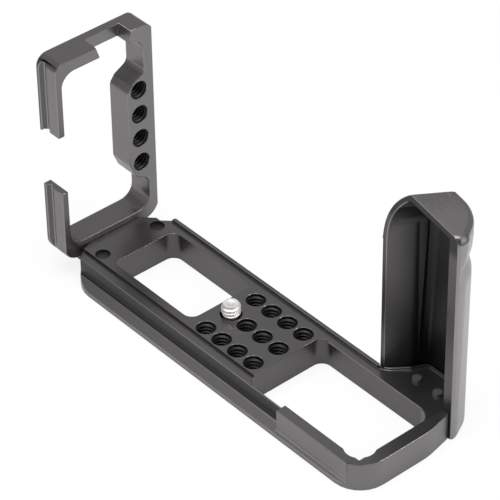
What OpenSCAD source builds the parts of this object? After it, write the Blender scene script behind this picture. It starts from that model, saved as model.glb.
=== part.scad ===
// Hand-grip bracket for a mirrorless camera: a dovetail base plate with a captive
// camera screw, an upright dovetail side plate and a hollow half-round hand grip.
// The origin is the camera screw's axis at the deck's surface. +X runs towards the
// hand grip, +Y towards the camera's front and +Z up.

/* [Base plate] */
// Thickness of the base plate
base_t = 10.3; // [9:0.1:12]
// From the camera screw to the left end
base_left = 57.9; // [57:0.1:64]
// From the camera screw to the right end
base_right = 81.6; // [80:0.1:88]
// Half width of the raised deck that the camera sits on
deck_half_w = 14.1; // [13.8:0.1:14.8]
// Depth of the two ledges beside the deck
ledge_drop = 0.95; // [0.6:0.05:1.4]
// Plan radius of the near right corner
corner_r = 10.3; // [6:0.1:12]
// Plan radius of the near left corner
left_corner_r = 11.6; // [6:0.1:13]
// Width of the fence along the far ledge
fence_w = 1.45; // [1:0.05:2]

/* [Dovetail] */
// Middle line to the near lip
near_lip = 20.86; // [20.4:0.02:21.6]
// Middle line to the far lip
far_lip = 18.6; // [18.4:0.02:19.6]
// Height of the upright lip below the flank
lip_h = 1.53; // [1.1:0.01:2]
// Run and rise of the 45 degree flank
flank = 2.42; // [2:0.01:2.6]
// Radius of the relief above the near flank
relief_r = 1; // [0.6:0.05:1.3]

/* [Tapped holes] */
// Radius of the 1/4 inch tapped holes at the thread's root
tap_r = 3.175; // [2.6:0.005:3.4]
// Distance between holes in a row
hole_pitch = 7.5; // [7.2:0.1:8.2]
// Distance between rows
row_pitch = 10.3; // [9.6:0.1:11]
// Widening of each hole's mouth
tap_chamfer = 0.2; // [0.1:0.05:0.3]

/* [Windows] */
// Left edge of the left window
window_a_left = 44.5; // [44:0.1:45.4]
// Length of the left window
window_a_l = 38.35; // [34:0.05:38.6]
// Left edge of the right window
window_b_left = 27.2; // [27:0.1:30]
// Frame right of the right window
end_wall = 4.7; // [4:0.1:9]

/* [Side plate] */
// Thickness of the side plate
side_t = 9.2; // [8:0.1:11]
// Height of the side plate above the deck
side_h = 73; // [70:0.5:82]
// Width of the bar across the top
top_bar = 4.5; // [4:0.1:6]
// Width of the near posts
post_w = 2.9; // [2.6:0.1:3.4]
// Distance between the tapped holes, one above the other
side_pitch = 9.375; // [9:0.025:9.6]

/* [Hand grip] */
// Length of the grip along the base plate, whose right end it reaches
grip_l = 32.7; // [30:0.1:35]
// Front of the grip from the middle line
grip_front = 31.35; // [30.5:0.05:34]
// Height of the grip's crest above the deck
grip_h = 71.6; // [64:0.1:80]
// Wall on the left and the front
grip_wall = 1.4; // [1.1:0.05:2]
// Wall on the right
grip_wall_right = 2.6; // [2:0.1:3.2]
// Rounding of the edge round the grip's top
grip_top_round = 2; // [1:0.1:2.2]

/* [Screws] */
// Height of the camera screw above the deck
screw_stand = 4.2; // [3.5:0.1:5]
// Radius of the camera screw's thread
screw_r = 3.175; // [2.6:0.005:3.3]
// Radius of the camera screw's head
screw_head_r = 4.7; // [4:0.1:4.8]

/* [Hidden] */

// Common values
fit_gap = 0.1;
thread_gap = 0.06;
overrun = 1;
round_facets = 48;
arc_steps = 7;
under_steps = 3;
hex_sides = 6;

// Base plate, small sizes
near_face = near_lip - flank - relief_r;
fence_inner = far_lip - fence_w;
fence_in = 8.2;
fence_left = base_left - fence_in;
far_cut = 8.7;
far_groove_top = 2.4;
right_bow_y = 8;
right_bow_r = 26;
right_far_in = 2.1;
right_far_x = base_right - right_far_in;
mouth_y = 18.2;

// Windows
window_b_l = base_right - end_wall - window_b_left;
window_near_a = 11.3;
window_far_a = 13.7;
window_near_b = 16.1;
window_far_b = 14.2;
window_r = 3.5;
window_small_r = 2;
window_corner_r = 6;
relief_corner_r = 5;
relief_corner_out = 0.75;
rail_relief = 0.8;
rail_relief_h = 3.2;

// Block at the near right corner
block_left = 43.9;
block_face = 19.9;

// Joint between the base plate and the side plate
pocket_h = 4.1;
pocket_l = 11.3;
pocket_half_w = 15;
side_screw_in = 7.7;
side_screw_x = base_left - side_screw_in;
side_screw_y = 11.3;
side_screw_r = 2;
side_screw_head_r = 3.3;
side_screw_head_h = 1.9;
deck_recess_r = 2.5;
deck_recess_h = 1;

// Captive camera screw
screw_hole_r = 3.6;
head_bore_r = 4.9;
head_bore_h = 4;
head_h = 2;
neck_r = 2.45;
tip_chamfer = 0.5;
socket_across = 4;
socket_h = 1.4;
circlip_t = 0.6;
circlip_low = 0.45;
circlip_bite = 0.35;
circlip_in = 1.1;
circlip_mouth = 50;
blind_h = 5.3;

// Side plate outline and cut-outs, from the deck and the middle line
side_near = near_lip - fit_gap;
side_far = far_lip;
side_bottom = 2.4;
side_near_bottom = 3.6;
side_top_r = 4;
side_low_r = 6.3;
side_near_low_r = 6;
stem_near = 11;
stem_far = 9.7;
side_lip_t = 1.2;
side_groove = 1.4;
side_groove_out = 3.2;
side_groove_w = 4.4;
side_face_in = 0.45;
opening_bottom = 2.25;
opening_r = 5;
opening_small_r = 3;
far_bar = 4.1;
boss_w = 11.3;
boss_top = 55.2;
boss_low = 16.4;
boss_slope_w = 5;
boss_slope_h = 2.6;
gap_low = 24.1;
gap_high = 44.6;
gap_slope = 1.1;
notch_near = 3.3;
notch_far = 9.4;
notch_slant = 1.1;
notch_web = 3.2;
side_hole_y = 12.1;
side_hole_low = 21.3;
side_hole_count = 4;

// Hand grip outline, small sizes
grip_left = base_right - grip_l;
grip_right = base_right;
grip_knee = [6, 7.8];
grip_knee_r = 6;
grip_front_left = 7.2;
grip_front_left_r = 3.4;
grip_front_right = 5.7;
grip_front_right_r = 10;
grip_side_y = 3.3;
grip_side_r = 4.4;
grip_corner = 0.6;
grip_narrow = 3;
grip_lean = 0.6;
grip_roll_r = 27.6;
grip_crest_in = 11.6;
grip_turn = 33;
grip_fall = 0.265;
grip_rise = 0.07;
grip_roof = 2.4;
grip_rim = 1.8;
grip_under = 0.5;
grip_under_h = 1.6;
grip_neck_depth = 1.5;
grip_neck_front = 0.5;
flange_t = 4.9;
grip_screw_y = 22.4;
grip_screw_in = [12.1, 21.2];
grip_screw_r = 1.5;
grip_screw_head_r = 2.9;
grip_screw_head_h = 1.7;
grip_screw_stand = 0;
foot_fence = 0.75;
floor_r = 7;

// Heights up the grip as shares of its height, and the skin's shift there as shares
// of the neck's depth: in for more than zero, out for less
grip_height_shares = [0.25, 0.5, 0.74, 0.77, 0.795, 0.82, 0.845, 0.88, 0.93, 1];
grip_shift_shares = [0.5, 0.42, 0.28, 0.35, 0.75, 1.1, 0.75, 0.35, 0.15, 0.15];
grip_low_share = 0.57;
// How far a ring's mouth points are spaced evenly, for the rest following its skin
even_share = 0.05;
// How far up the hollow its wall stays upright, for the foot
foot_share = 0.085;

// Vectors and outlines
function unit(v) = v / norm(v);
function left_of(v) = [-v.y, v.x];
function flat(p) = [p.x, p.y];
function next(p, i) = p[(i + 1) % len(p)];
function before(p, i) = p[(i + len(p) - 1) % len(p)];

// Points of one rounded corner at b, between its neighbours a and c
function corner_arc(a, b, c, r) =
    let (u = unit(a - b), v = unit(c - b), half = acos(u * v) / 2,
         middle = b + unit(u + v) * r / sin(half),
         from = b + u * r / tan(half) - middle, to = b + v * r / tan(half) - middle,
         start = atan2(from.y, from.x), turn = atan2(to.y, to.x) - start,
         sweep = turn > 180 ? turn - 360 : turn < -180 ? turn + 360 : turn)
    [for (k = [0:arc_steps])
        middle + r * [cos(start + sweep * k / arc_steps), sin(start + sweep * k / arc_steps)]];

// Outline with round corners from points [x, y, radius]
function rounded(p) =
    [for (i = [0:len(p) - 1])
        each p[i].z > 0
            ? corner_arc(flat(before(p, i)), flat(p[i]), flat(next(p, i)), p[i].z)
            : [flat(p[i])]];

// Where the lines through a along u and through b along v cross
function crossing(a, u, b, v) = a + u * ((b - a) * left_of(v)) / (u * left_of(v));

// Outline [x, y, radius], clockwise, with edge i moved in by shift[i]
function moved_in(p, shift) =
    [for (i = [0:len(p) - 1])
        let (a = flat(before(p, i)), b = flat(p[i]), c = flat(next(p, i)),
             u = unit(b - a), v = unit(c - b),
             at = crossing(b - left_of(u) * before(shift, i), u, b - left_of(v) * shift[i], v),
             hollow = u.x * v.y - u.y * v.x > 0)
        [at.x, at.y, p[i].z > 0 ? max(p[i].z + (hollow ? 1 : -1) * shift[i], fit_gap) : 0]];

module bore(r, low, high) {
    translate([0, 0, low]) cylinder(r = r, h = high - low, $fn = round_facets);
}

// Tapped hole with widened mouths, its axis along Z
module tapped(low, high, open_low = true) {
    bore(tap_r, open_low ? low - overrun : low, high + overrun);
    translate([0, 0, high - tap_chamfer])
        cylinder(r1 = tap_r, r2 = tap_r + tap_chamfer, h = tap_chamfer, $fn = round_facets);
    if (open_low)
        translate([0, 0, low])
            cylinder(r1 = tap_r + tap_chamfer, r2 = tap_r, h = tap_chamfer, $fn = round_facets);
}

// Base plate: plan outline of the whole block
module base_plan() {
    polygon(rounded([
        [-base_left, -near_lip, left_corner_r],
        [-base_left, far_lip - far_cut, 0],
        [-base_left + far_cut, far_lip, 0],
        [grip_left - fit_gap, far_lip, 0],
        [grip_left - fit_gap, mouth_y - fit_gap, 0],
        [right_far_x, mouth_y - fit_gap, 0],
        [base_right, right_bow_y, right_bow_r],
        [base_right, -near_lip, corner_r]
    ]));
}

// Cross-section of the body below the deck: x is the world's Y, y its Z
module dovetail_profile() {
    root = -base_t + lip_h + flank;
    polygon(concat(
        [[-near_lip, -base_t], [-near_lip, -base_t + lip_h], [-near_lip + flank, root]],
        [for (k = [0:arc_steps])
            [-near_face - relief_r * (1 - sin(90 * k / arc_steps)),
             root + relief_r * (1 - cos(90 * k / arc_steps))]],
        [[-near_face, -ledge_drop], [far_lip, -ledge_drop], [far_lip, -far_groove_top],
         [far_lip - flank, -far_groove_top], [far_lip - flank, root],
         [far_lip, -base_t + lip_h], [far_lip, -base_t]]));
}

// Turns a shape in the plane of Y and Z into a bar along X
module bar_along_x(from, to) {
    translate([from, 0, 0]) rotate([90, 0, 90]) linear_extrude(to - from) children();
}

module slab(low, high) {
    translate([0, 0, low]) linear_extrude(high - low) children();
}

module window_a_plan() {
    right = -window_a_left + window_a_l;
    polygon(rounded([
        [-window_a_left, -window_near_a, window_small_r],
        [-window_a_left, window_far_a, window_r],
        [right, window_far_a, window_small_r],
        [right, -window_near_a, window_r]
    ]));
}

module window_b_plan() {
    right = window_b_left + window_b_l;
    in = relief_corner_r - relief_corner_out;
    polygon(rounded([
        [window_b_left, -window_near_b, window_small_r],
        [window_b_left, window_far_b, window_r],
        [right, window_far_b, window_corner_r],
        [right, -window_near_b, window_small_r]
    ]));
    translate([right - in, -window_near_b + in]) circle(r = relief_corner_r, $fn = round_facets);
}

// Deck, fence and corner block, as far up as the deck
module raised_plan() {
    intersection() {
        base_plan();
        union() {
            translate([-base_left, -deck_half_w])
                square([base_left + block_left, 2 * deck_half_w]);
            translate([-fence_left, fence_inner])
                square([fence_left + grip_left - fit_gap, fence_w]);
        }
    }
}

module block_plan() {
    right = window_b_left + window_b_l;
    intersection() {
        base_plan();
        union() {
            translate([block_left, -block_face])
                square([base_right - block_left, block_face - window_near_b]);
            translate([right, -block_face]) square([base_right - right, block_face + far_lip]);
        }
    }
}

// Outline of the grip in plan, clockwise from its left lip; the last edge is its mouth
grip_plan = [
    [grip_left, mouth_y, 0],
    [grip_left + grip_knee.x, mouth_y + grip_knee.y, grip_knee_r],
    [grip_left + grip_front_left, grip_front, grip_front_left_r],
    [grip_right - grip_front_right, grip_front, grip_front_right_r],
    [grip_right, mouth_y + grip_side_y, grip_side_r],
    [grip_right - grip_corner, mouth_y + grip_corner, 0],
    [grip_right - 2 * grip_corner, mouth_y, 0]
];
cavity_shift = [grip_wall, grip_wall, grip_wall, grip_wall_right, grip_wall_right,
                grip_wall_right, 0];
function all_walls(d) = [d, d, d, d, d, d, 0];
cavity_plan = moved_in(grip_plan, cavity_shift);
// Where the hollow's shoulder, moved in by the gap given, crosses a line across the plan
function shoulder_x(y, gap) =
    grip_left + grip_rim + (gap + (y - mouth_y) * sin(grip_turn)) / cos(grip_turn);
foot_walls = moved_in(cavity_plan, all_walls(fit_gap));
foot_plan = [for (p = foot_walls)
    p == foot_walls[2] ? [shoulder_x(p.y, fit_gap), p.y, p.z] : p];
foot_floor = moved_in(foot_plan, all_walls(foot_fence));
// The floor inside the fence, which curves from the ledge along the grip's wall
floor_plan = concat(
    [[block_left, window_far_b, 0], [block_left, fence_inner, 0],
     [foot_floor[0].x + (fence_inner - mouth_y) * grip_knee.x / grip_knee.y, fence_inner, floor_r]],
    [for (i = [1:5]) foot_floor[i]],
    [[foot_floor[5].x, window_far_b, 0]]);

// The base's foot inside the grip, reaching back to the plate
module foot(outline) {
    polygon(rounded(outline));
    translate([outline[0].x, fence_inner])
        square([right_far_x - outline[0].x, mouth_y + fit_gap - fence_inner]);
}

module foot_ends() {
    last = foot_plan[len(foot_plan) - 1];
    intersection() {
        foot(foot_plan);
        translate([grip_left, fence_inner])
            square([last.x - grip_left, grip_front - fence_inner]);
    }
}

// Fence round the foot, on the same line as the fence along the ledge
module foot_rim() {
    difference() {
        union() {
            foot_ends();
            translate([grip_left - 2 * fit_gap, fence_inner])
                square([foot_plan[1].x - grip_left, mouth_y - fit_gap - fence_inner]);
        }
        polygon(rounded(floor_plan));
    }
}

module base_body() {
    intersection() {
        bar_along_x(-base_left, base_right) dovetail_profile();
        slab(-base_t, 0) base_plan();
    }
    slab(-base_t / 2, 0) raised_plan();
    slab(-base_t, 0) block_plan();
    slab(-base_t + flange_t + fit_gap, -ledge_drop) foot_ends();
    slab(-ledge_drop - fit_gap, 0) foot_rim();
}

module rows_of_holes() {
    for (row = [-1:1])
        for (i = [row == 0 ? 1 : 0:3])
            translate([i * hole_pitch, row * row_pitch, 0])
                tapped(row == 0 && i == 1 ? -blind_h : -base_t, 0, !(row == 0 && i == 1));
}

module captive_bores() {
    bore(screw_hole_r, -base_t, overrun);
    bore(head_bore_r, -base_t - overrun, -base_t + head_bore_h);
    bore(head_bore_r + circlip_bite, -base_t + circlip_low, -base_t + circlip_low + circlip_t);
}

module side_screw_places() {
    for (side = [-1, 1]) translate([-side_screw_x, side * side_screw_y, 0]) children();
}

module grip_screw_places() {
    for (x = grip_screw_in) translate([grip_left + x, grip_screw_y, 0]) children();
}

module base_plate() {
    color([0.2, 0.2, 0.21])
    difference() {
        base_body();
        slab(-base_t - overrun, overrun) window_a_plan();
        slab(-base_t - overrun, overrun) window_b_plan();
        slab(-rail_relief_h, overrun)
            translate([window_b_left + window_small_r, -window_near_b - rail_relief])
                square([block_left - window_b_left - window_small_r, window_r]);
        slab(-base_t - overrun, -base_t + pocket_h)
            translate([-base_left - overrun, -pocket_half_w])
                square([pocket_l + overrun, 2 * pocket_half_w]);
        rows_of_holes();
        captive_bores();
        side_screw_places() {
            bore(side_screw_r + thread_gap, -base_t, overrun);
            bore(deck_recess_r, -deck_recess_h, overrun);
        }
        grip_screw_places() bore(grip_screw_r + thread_gap, -base_t, overrun);
    }
}

// Side plate seen along X, before its openings: x is the world's Y, y its Z
module side_outline() {
    polygon(rounded([
        [-side_near, side_h, side_top_r],
        [side_far, side_h, side_top_r],
        [side_far, -side_bottom, side_low_r],
        [stem_far, -side_bottom, 0],
        [stem_far, -base_t, 0],
        [-stem_near, -base_t, 0],
        [-stem_near, -side_near_bottom, 0],
        [-side_near, -side_near_bottom, side_near_low_r]
    ]));
}

module side_opening() {
    near = -side_near + post_w;
    far = side_far - far_bar;
    top = side_h - top_bar;
    boss = side_far - boss_w;
    polygon(rounded([
        [near, opening_bottom, opening_r],
        [near, top, opening_r],
        [far, top, opening_r],
        [far, boss_top, opening_small_r],
        [far - boss_slope_w, boss_top - boss_slope_h, opening_small_r],
        [boss + fit_gap, boss_top - 2 * boss_slope_h, opening_small_r],
        [boss + fit_gap, boss_low + 2 * boss_slope_h, opening_small_r],
        [far - boss_slope_w, boss_low, opening_small_r],
        [far, boss_low - boss_slope_h, opening_small_r],
        [far, opening_bottom, opening_r]
    ]));
}

// Plan of the side plate, with a dovetail groove down each edge
module side_plan() {
    outer = -base_left - side_t;
    lip_in = outer + side_lip_t;
    bottom_in = lip_in + side_groove;
    bottom_out = outer + side_groove_w - side_groove + side_face_in;
    polygon([
        [outer, -side_near], [lip_in, -side_near], [bottom_in, -side_near + side_groove],
        [bottom_out, -side_near + side_groove], [outer + side_groove_w, -side_near + side_face_in],
        [-base_left, -side_near + side_face_in], [-base_left, side_far - side_face_in],
        [outer + side_groove_w, side_far - side_face_in], [bottom_out, side_far - side_groove],
        [bottom_in, side_far - side_groove], [lip_in, side_far], [outer, side_far]
    ]);
}

module post_gap() {
    polygon([
        [-side_near - overrun, gap_low], [-side_near + post_w + overrun, gap_low],
        [-side_near + post_w + overrun, gap_high + gap_slope],
        [-side_near + side_face_in, gap_high + gap_slope],
        [-side_near - overrun, gap_high - gap_slope]
    ]);
}

module top_notch() {
    top = side_h - top_bar;
    polygon([
        [-notch_near - notch_slant, side_h + overrun], [notch_far + notch_slant / 2, side_h + overrun],
        [notch_far - notch_slant / 2, top - overrun], [-notch_near + notch_slant, top - overrun]
    ]);
}

module side_foot() {
    slab(-base_t, -base_t + pocket_h - fit_gap)
        intersection() {
            base_plan();
            translate([-base_left - fit_gap, -pocket_half_w + fit_gap])
                square([pocket_l, 2 * (pocket_half_w - fit_gap)]);
        }
}

module side_plate() {
    color([0.24, 0.24, 0.25])
    difference() {
        union() {
            intersection() {
                bar_along_x(-base_left - side_t, -base_left) side_outline();
                slab(-base_t, side_h) side_plan();
            }
            side_foot();
        }
        bar_along_x(-base_left - side_t - overrun, -base_left + overrun) side_opening();
        bar_along_x(-base_left - side_t - overrun, -base_left + overrun) post_gap();
        bar_along_x(-base_left - side_t + notch_web, -base_left + overrun) top_notch();
        for (i = [0:side_hole_count - 1])
            translate([0, side_hole_y, side_hole_low + i * side_pitch])
                rotate([0, 90, 0]) tapped(-base_left - side_t, -base_left);
        side_screw_places() countersunk(side_screw_r, side_screw_head_r, side_screw_head_h);
    }
}

// Clearance hole and cone for a flat-headed screw that comes up from the underside
module countersunk(r, head_r, head_h) {
    bore(r + fit_gap, -base_t - overrun, 0);
    translate([0, 0, -base_t])
        cylinder(r1 = head_r + fit_gap, r2 = r + fit_gap, h = head_h, $fn = round_facets);
}

// Height of the grip's top over x and y: it falls to the right and rises to the front
function grip_top(p) =
    grip_h - grip_fall * (p.x - grip_left - grip_crest_in) + grip_rise * (p.y - mouth_y);

// Block that trims the grip's top left to a round shoulder, smaller by the inset given.
// The shoulder's axis is turned in plan by grip_turn, so the crest runs forward and right.
module grip_shoulder(inset, low) {
    low_arc = acos((grip_roll_r - grip_crest_in) / grip_roll_r);
    middle = [grip_roll_r, grip_h - grip_roll_r * sin(low_arc)];
    arc = [for (k = [0:3 * arc_steps])
        let (t = low_arc * k / (2 * arc_steps))
        [(middle.x - (grip_roll_r - inset) * cos(t)) * cos(grip_turn),
         middle.y + (grip_roll_r - inset) * sin(t)]];
    high = grip_h + grip_crest_in;
    translate([grip_left, mouth_y, 0])
        rotate([0, 0, -grip_turn])
            translate([0, grip_front, 0])
                rotate([90, 0, 0])
                    linear_extrude(2 * grip_front)
                        polygon(concat(
                            [[arc[0].x, low]], arc,
                            [[arc[3 * arc_steps].x, high], [grip_front, high],
                             [grip_front, low]]));
}

// Ring of points at a share of the height, from an outline whose last edge is the mouth
function grip_ring(outline, low, share, roof) =
    let (skin = rounded(outline), n = len(skin), a = skin[0], b = skin[n - 1],
         far_x = max([for (p = skin) p.x]))
    concat(
        [for (p = skin) [p.x, p.y, low + share * (grip_top(p) - roof - low)]],
        [for (i = [n - 2:-1:1])
            let (reach = max([for (j = [0:i]) skin[j].x]),
                 part = (1 - even_share) * (reach - a.x) / (far_x - a.x)
                        + even_share * i / (n - 1),
                 at = a + (b - a) * part)
            [at.x, at.y, low + share * (grip_top(at) - roof - low)]]);

// Solid through rings of equally many points, with ruled ends
module loft(rings) {
    n = len(rings[0]);
    half = (n + 2) / 2;
    points = [for (r = rings) each r];
    last = (len(rings) - 1) * n;
    function cap(i, base) = let (a = base + i, b = base + i + 1,
        c = base + (i + 1 == half - 1 ? i + 1 : n - i - 1), d = base + (i == 0 ? 0 : n - i))
        concat(c == b ? [] : [[a, b, c]], d == a ? [] : [[a, c, d]]);
    polyhedron(points, concat(
        [for (k = [0:len(rings) - 2]) for (i = [0:n - 1])
            let (a = k * n + i, b = k * n + (i + 1) % n)
            each [[a, b + n, a + n], [a, b, b + n]]],
        [for (i = [0:half - 2]) each cap(i, last)],
        [for (i = [0:half - 2]) for (f = cap(i, 0)) [f[2], f[1], f[0]]]));
}

// Outline at one height: the front leans back, its left corner draws in and its right
// side follows the neck
function grip_outline(height, shift) =
    [for (i = [0:len(grip_plan) - 1])
        let (p = grip_plan[i], front = i > 1 && i < 4 ? 1 : 0,
             right = i == 3 ? grip_neck_front : i == 4 ? 1 : 0,
             left = i == 2 ? grip_narrow * height : 0)
        [p.x + left - right * shift * grip_neck_depth,
         p.y - front * grip_lean * height - right * shift * grip_neck_depth, p.z + left]];

module grip_skin() {
    intersection() {
        grip_body();
        grip_shoulder(0, -base_t - overrun);
    }
}

module grip_body() {
    steps = len(grip_height_shares) - 1;
    share = grip_under_h / (grip_h + base_t);
    rim = [for (k = [0:steps]) grip_outline(grip_height_shares[k], grip_shift_shares[k])];
    loft(concat(
        [for (k = [0:under_steps])
            grip_ring(moved_in(grip_outline(0, grip_low_share),
                               all_walls(grip_under * (1 - sin(90 * k / under_steps)))),
                      -base_t, share * (1 - cos(90 * k / under_steps)), 0)],
        [for (k = [0:steps - 1]) grip_ring(rim[k], -base_t, grip_height_shares[k], 0)],
        [for (k = [0:under_steps])
            grip_ring(moved_in(rim[steps],
                               all_walls(grip_top_round * (1 - cos(90 * k / under_steps)))),
                      -base_t, 1, grip_top_round * (1 - sin(90 * k / under_steps)))]));
}

module grip_cavity() {
    floor_z = -base_t + flange_t;
    open_plan = [for (i = [0:len(cavity_plan) - 1])
        let (p = cavity_plan[i], front = i > 1 && i < 4 ? 1 : 0, left = i == 2 ? grip_narrow : 0)
        [p.x + left, p.y - front * grip_lean, p.z + left]];
    intersection() {
        loft([grip_ring(cavity_plan, floor_z, 0, 0),
              grip_ring(cavity_plan, floor_z, foot_share, grip_roof),
              grip_ring(open_plan, floor_z, 1, grip_roof)]);
        grip_shoulder(grip_rim, floor_z - overrun);
    }
    translate([cavity_plan[0].x, mouth_y - overrun, floor_z])
        cube([cavity_plan[6].x - cavity_plan[0].x, overrun + fit_gap, grip_h / 2]);
}

module grip_shell() {
    color([0.3, 0.29, 0.3])
    difference() {
        grip_skin();
        grip_cavity();
        grip_screw_places() countersunk(grip_screw_r, grip_screw_head_r, grip_screw_head_h);
    }
}

// Flat-headed screw from the underside up to the height given
module flat_screw(r, head_r, head_h, top) {
    difference() {
        union() {
            bore(r, -base_t + head_h / 2, top);
            translate([0, 0, -base_t])
                cylinder(r1 = head_r, r2 = r, h = head_h, $fn = round_facets);
        }
        translate([0, 0, -base_t - overrun])
            cylinder(r = r * 2 / 3, h = overrun + head_h * 2 / 3, $fn = hex_sides);
    }
}

module side_plate_screws() {
    color([0.12, 0.12, 0.12])
    side_screw_places()
        flat_screw(side_screw_r, side_screw_head_r, side_screw_head_h, -deck_recess_h);
}

module grip_screws() {
    color([0.5, 0.5, 0.5])
    grip_screw_places()
        flat_screw(grip_screw_r, grip_screw_head_r, grip_screw_head_h, grip_screw_stand);
}

module camera_screw() {
    head_low = -base_t + circlip_low + circlip_t;
    color([0.85, 0.85, 0.85])
    difference() {
        union() {
            bore(screw_head_r, head_low, head_low + head_h);
            bore(neck_r, head_low, overrun);
            bore(screw_r, 0, screw_stand - tip_chamfer);
            translate([0, 0, screw_stand - tip_chamfer])
                cylinder(r1 = screw_r, r2 = screw_r - tip_chamfer, h = tip_chamfer,
                         $fn = round_facets);
        }
        translate([0, 0, head_low - overrun])
            cylinder(d = socket_across / cos(180 / hex_sides), h = overrun + socket_h,
                     $fn = hex_sides);
    }
}

module screw_circlip() {
    low = -base_t + circlip_low;
    outer = head_bore_r + circlip_bite - thread_gap;
    color([0.6, 0.6, 0.6])
    difference() {
        bore(outer, low + thread_gap, low + circlip_t - thread_gap);
        bore(head_bore_r - circlip_in, low - overrun, low + overrun + circlip_t);
        translate([0, 0, low - overrun]) linear_extrude(circlip_t + 2 * overrun)
            polygon([[0, 0], 2 * outer * [cos(circlip_mouth / 2), sin(circlip_mouth / 2)],
                     2 * outer * [cos(circlip_mouth / 2), -sin(circlip_mouth / 2)]]);
    }
}

base_plate();
side_plate();
grip_shell();
camera_screw();
screw_circlip();
side_plate_screws();
grip_screws();
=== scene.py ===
# %% [markdown]
# # A black anodised camera bracket with a hand grip
#
# The real object is an L of machined aluminium. A windowed base plate carries the camera
# on one bright quarter inch screw, an upright plate closes its left end, and a hollow
# half-round grip stands at its right front corner. The CAD model already has every shape
# at its real size. This script adds what a photograph shows and a CAD model leaves out:
# screw threads, softly broken edges, finishes and a studio.
#
# All lengths below are written in millimetres and multiplied by MM, because Blender's
# own unit is the metre.

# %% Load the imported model
import math

import bmesh
import bpy
from mathutils import Matrix, Vector


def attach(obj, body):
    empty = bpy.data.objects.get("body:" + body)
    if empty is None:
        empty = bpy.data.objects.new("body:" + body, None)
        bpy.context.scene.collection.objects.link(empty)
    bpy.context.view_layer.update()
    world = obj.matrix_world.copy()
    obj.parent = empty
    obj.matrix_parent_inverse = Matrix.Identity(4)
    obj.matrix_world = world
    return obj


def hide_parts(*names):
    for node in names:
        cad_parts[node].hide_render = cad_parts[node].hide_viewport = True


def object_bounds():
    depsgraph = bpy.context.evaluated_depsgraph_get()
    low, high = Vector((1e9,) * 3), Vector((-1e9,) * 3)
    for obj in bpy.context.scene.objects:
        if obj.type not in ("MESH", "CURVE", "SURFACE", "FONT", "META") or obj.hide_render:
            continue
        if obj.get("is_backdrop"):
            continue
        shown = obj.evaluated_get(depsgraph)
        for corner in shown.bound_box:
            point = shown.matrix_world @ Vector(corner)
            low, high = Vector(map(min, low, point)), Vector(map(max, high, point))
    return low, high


MM = 0.001

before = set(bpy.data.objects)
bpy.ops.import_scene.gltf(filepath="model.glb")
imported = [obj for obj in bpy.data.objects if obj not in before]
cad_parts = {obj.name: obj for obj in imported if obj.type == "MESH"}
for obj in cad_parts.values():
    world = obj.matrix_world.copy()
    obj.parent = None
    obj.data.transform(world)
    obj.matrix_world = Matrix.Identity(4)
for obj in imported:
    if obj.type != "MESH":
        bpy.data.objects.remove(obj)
cad_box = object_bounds()
print("nodes:", ", ".join(sorted(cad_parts)))
print("size in mm:", [round((high - low) / MM, 1) for low, high in zip(*cad_box)])

# %% [markdown]
# ## The camera
#
# A product photograph is taken from far away with a long lens, so its lines converge only
# a little. The camera could be placed by eye, but three angles and a distance found from
# the edges of the plates give the same picture every time. Azimuth and elevation turn the
# view, and roll levels the horizon. The lens and its sensor need no MM, because Blender
# takes these two in millimetres.


# %% Place the camera
AZIMUTH, ELEVATION, ROLL = (math.radians(a) for a in (49.596, 38.118, -0.779))
CAMERA_PLACE = Vector((550.46, -460.40, 588.22)) * MM
FOCAL_LENGTH = 212.94
SENSOR_WIDTH = 36


def add_object(name, data):
    made = bpy.data.objects.new(name, data)
    bpy.context.scene.collection.objects.link(made)
    return made


ahead = Vector((-math.sin(AZIMUTH) * math.cos(ELEVATION),
                math.cos(AZIMUTH) * math.cos(ELEVATION),
                -math.sin(ELEVATION)))
level = Vector((math.cos(AZIMUTH), math.sin(AZIMUTH), 0))
upward = level.cross(ahead)
right = math.cos(ROLL) * level + math.sin(ROLL) * upward
top = math.cos(ROLL) * upward - math.sin(ROLL) * level

lens = bpy.data.cameras.new("product_lens")
lens.lens = FOCAL_LENGTH
lens.sensor_width = SENSOR_WIDTH
camera = add_object("product_camera", lens)
camera.matrix_world = Matrix.Translation(CAMERA_PLACE) @ Matrix(
    (right, top, -ahead)).transposed().to_4x4()
bpy.context.scene.camera = camera
print("camera to the screw: %.0f mm" % (CAMERA_PLACE.length / MM))

# %% [markdown]
# ## Materials from code
#
# A material is a tree of nodes. Each input socket of a node either holds a plain value or
# is linked to the output of another node. The tree could be wired line by line, but one
# helper that accepts both kinds of value keeps every later cell short enough to read.


# %% Helpers for node trees
def fill(tree, socket, value):
    if isinstance(value, bpy.types.NodeSocket):
        tree.links.new(value, socket)
    else:
        socket.default_value = value


def add_node(tree, kind, inputs=None, **settings):
    node = tree.nodes.new(kind)
    for name, value in settings.items():
        setattr(node, name, value)
    for name, value in (inputs or {}).items():
        fill(tree, node.inputs[name], value)
    return node


def arithmetic(tree, operation, *values):
    node = add_node(tree, "ShaderNodeMath", dict(enumerate(values)), operation=operation)
    return node.outputs["Value"]


def new_material(name):
    material = bpy.data.materials.new(name)
    material.use_nodes = True
    material.node_tree.nodes.clear()
    return material, material.node_tree


# %% [markdown]
# ## Floor and light
#
# Black metal has hardly any colour of its own. What the eye reads is what the metal
# reflects, so the room matters as much as the finish. A pale floor lights the upright
# faces from below and a dim grey room keeps the deck dark. Four soft lamps do the rest: a
# wide one overhead, one at the right that draws the streak on the round grip, and two
# weak ones that fill the front and the back.
#
# The floor is plain pale paint, which holds the object's shadow. A share of white is mixed
# in for the camera, so that it reads as a white background, and a smaller share for
# reflections, so that it doesn't wash out the lower faces. The Standard view then shows
# the greys as they were rendered, without the curve of a film.

# %% Floor
FLOOR_SIZE = 6000
FLOOR_PAINT = (0.86, 0.86, 0.86, 1)
FLOOR_WHITE_SEEN = 0.85
FLOOR_WHITE_MIRRORED = 0.35

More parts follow.
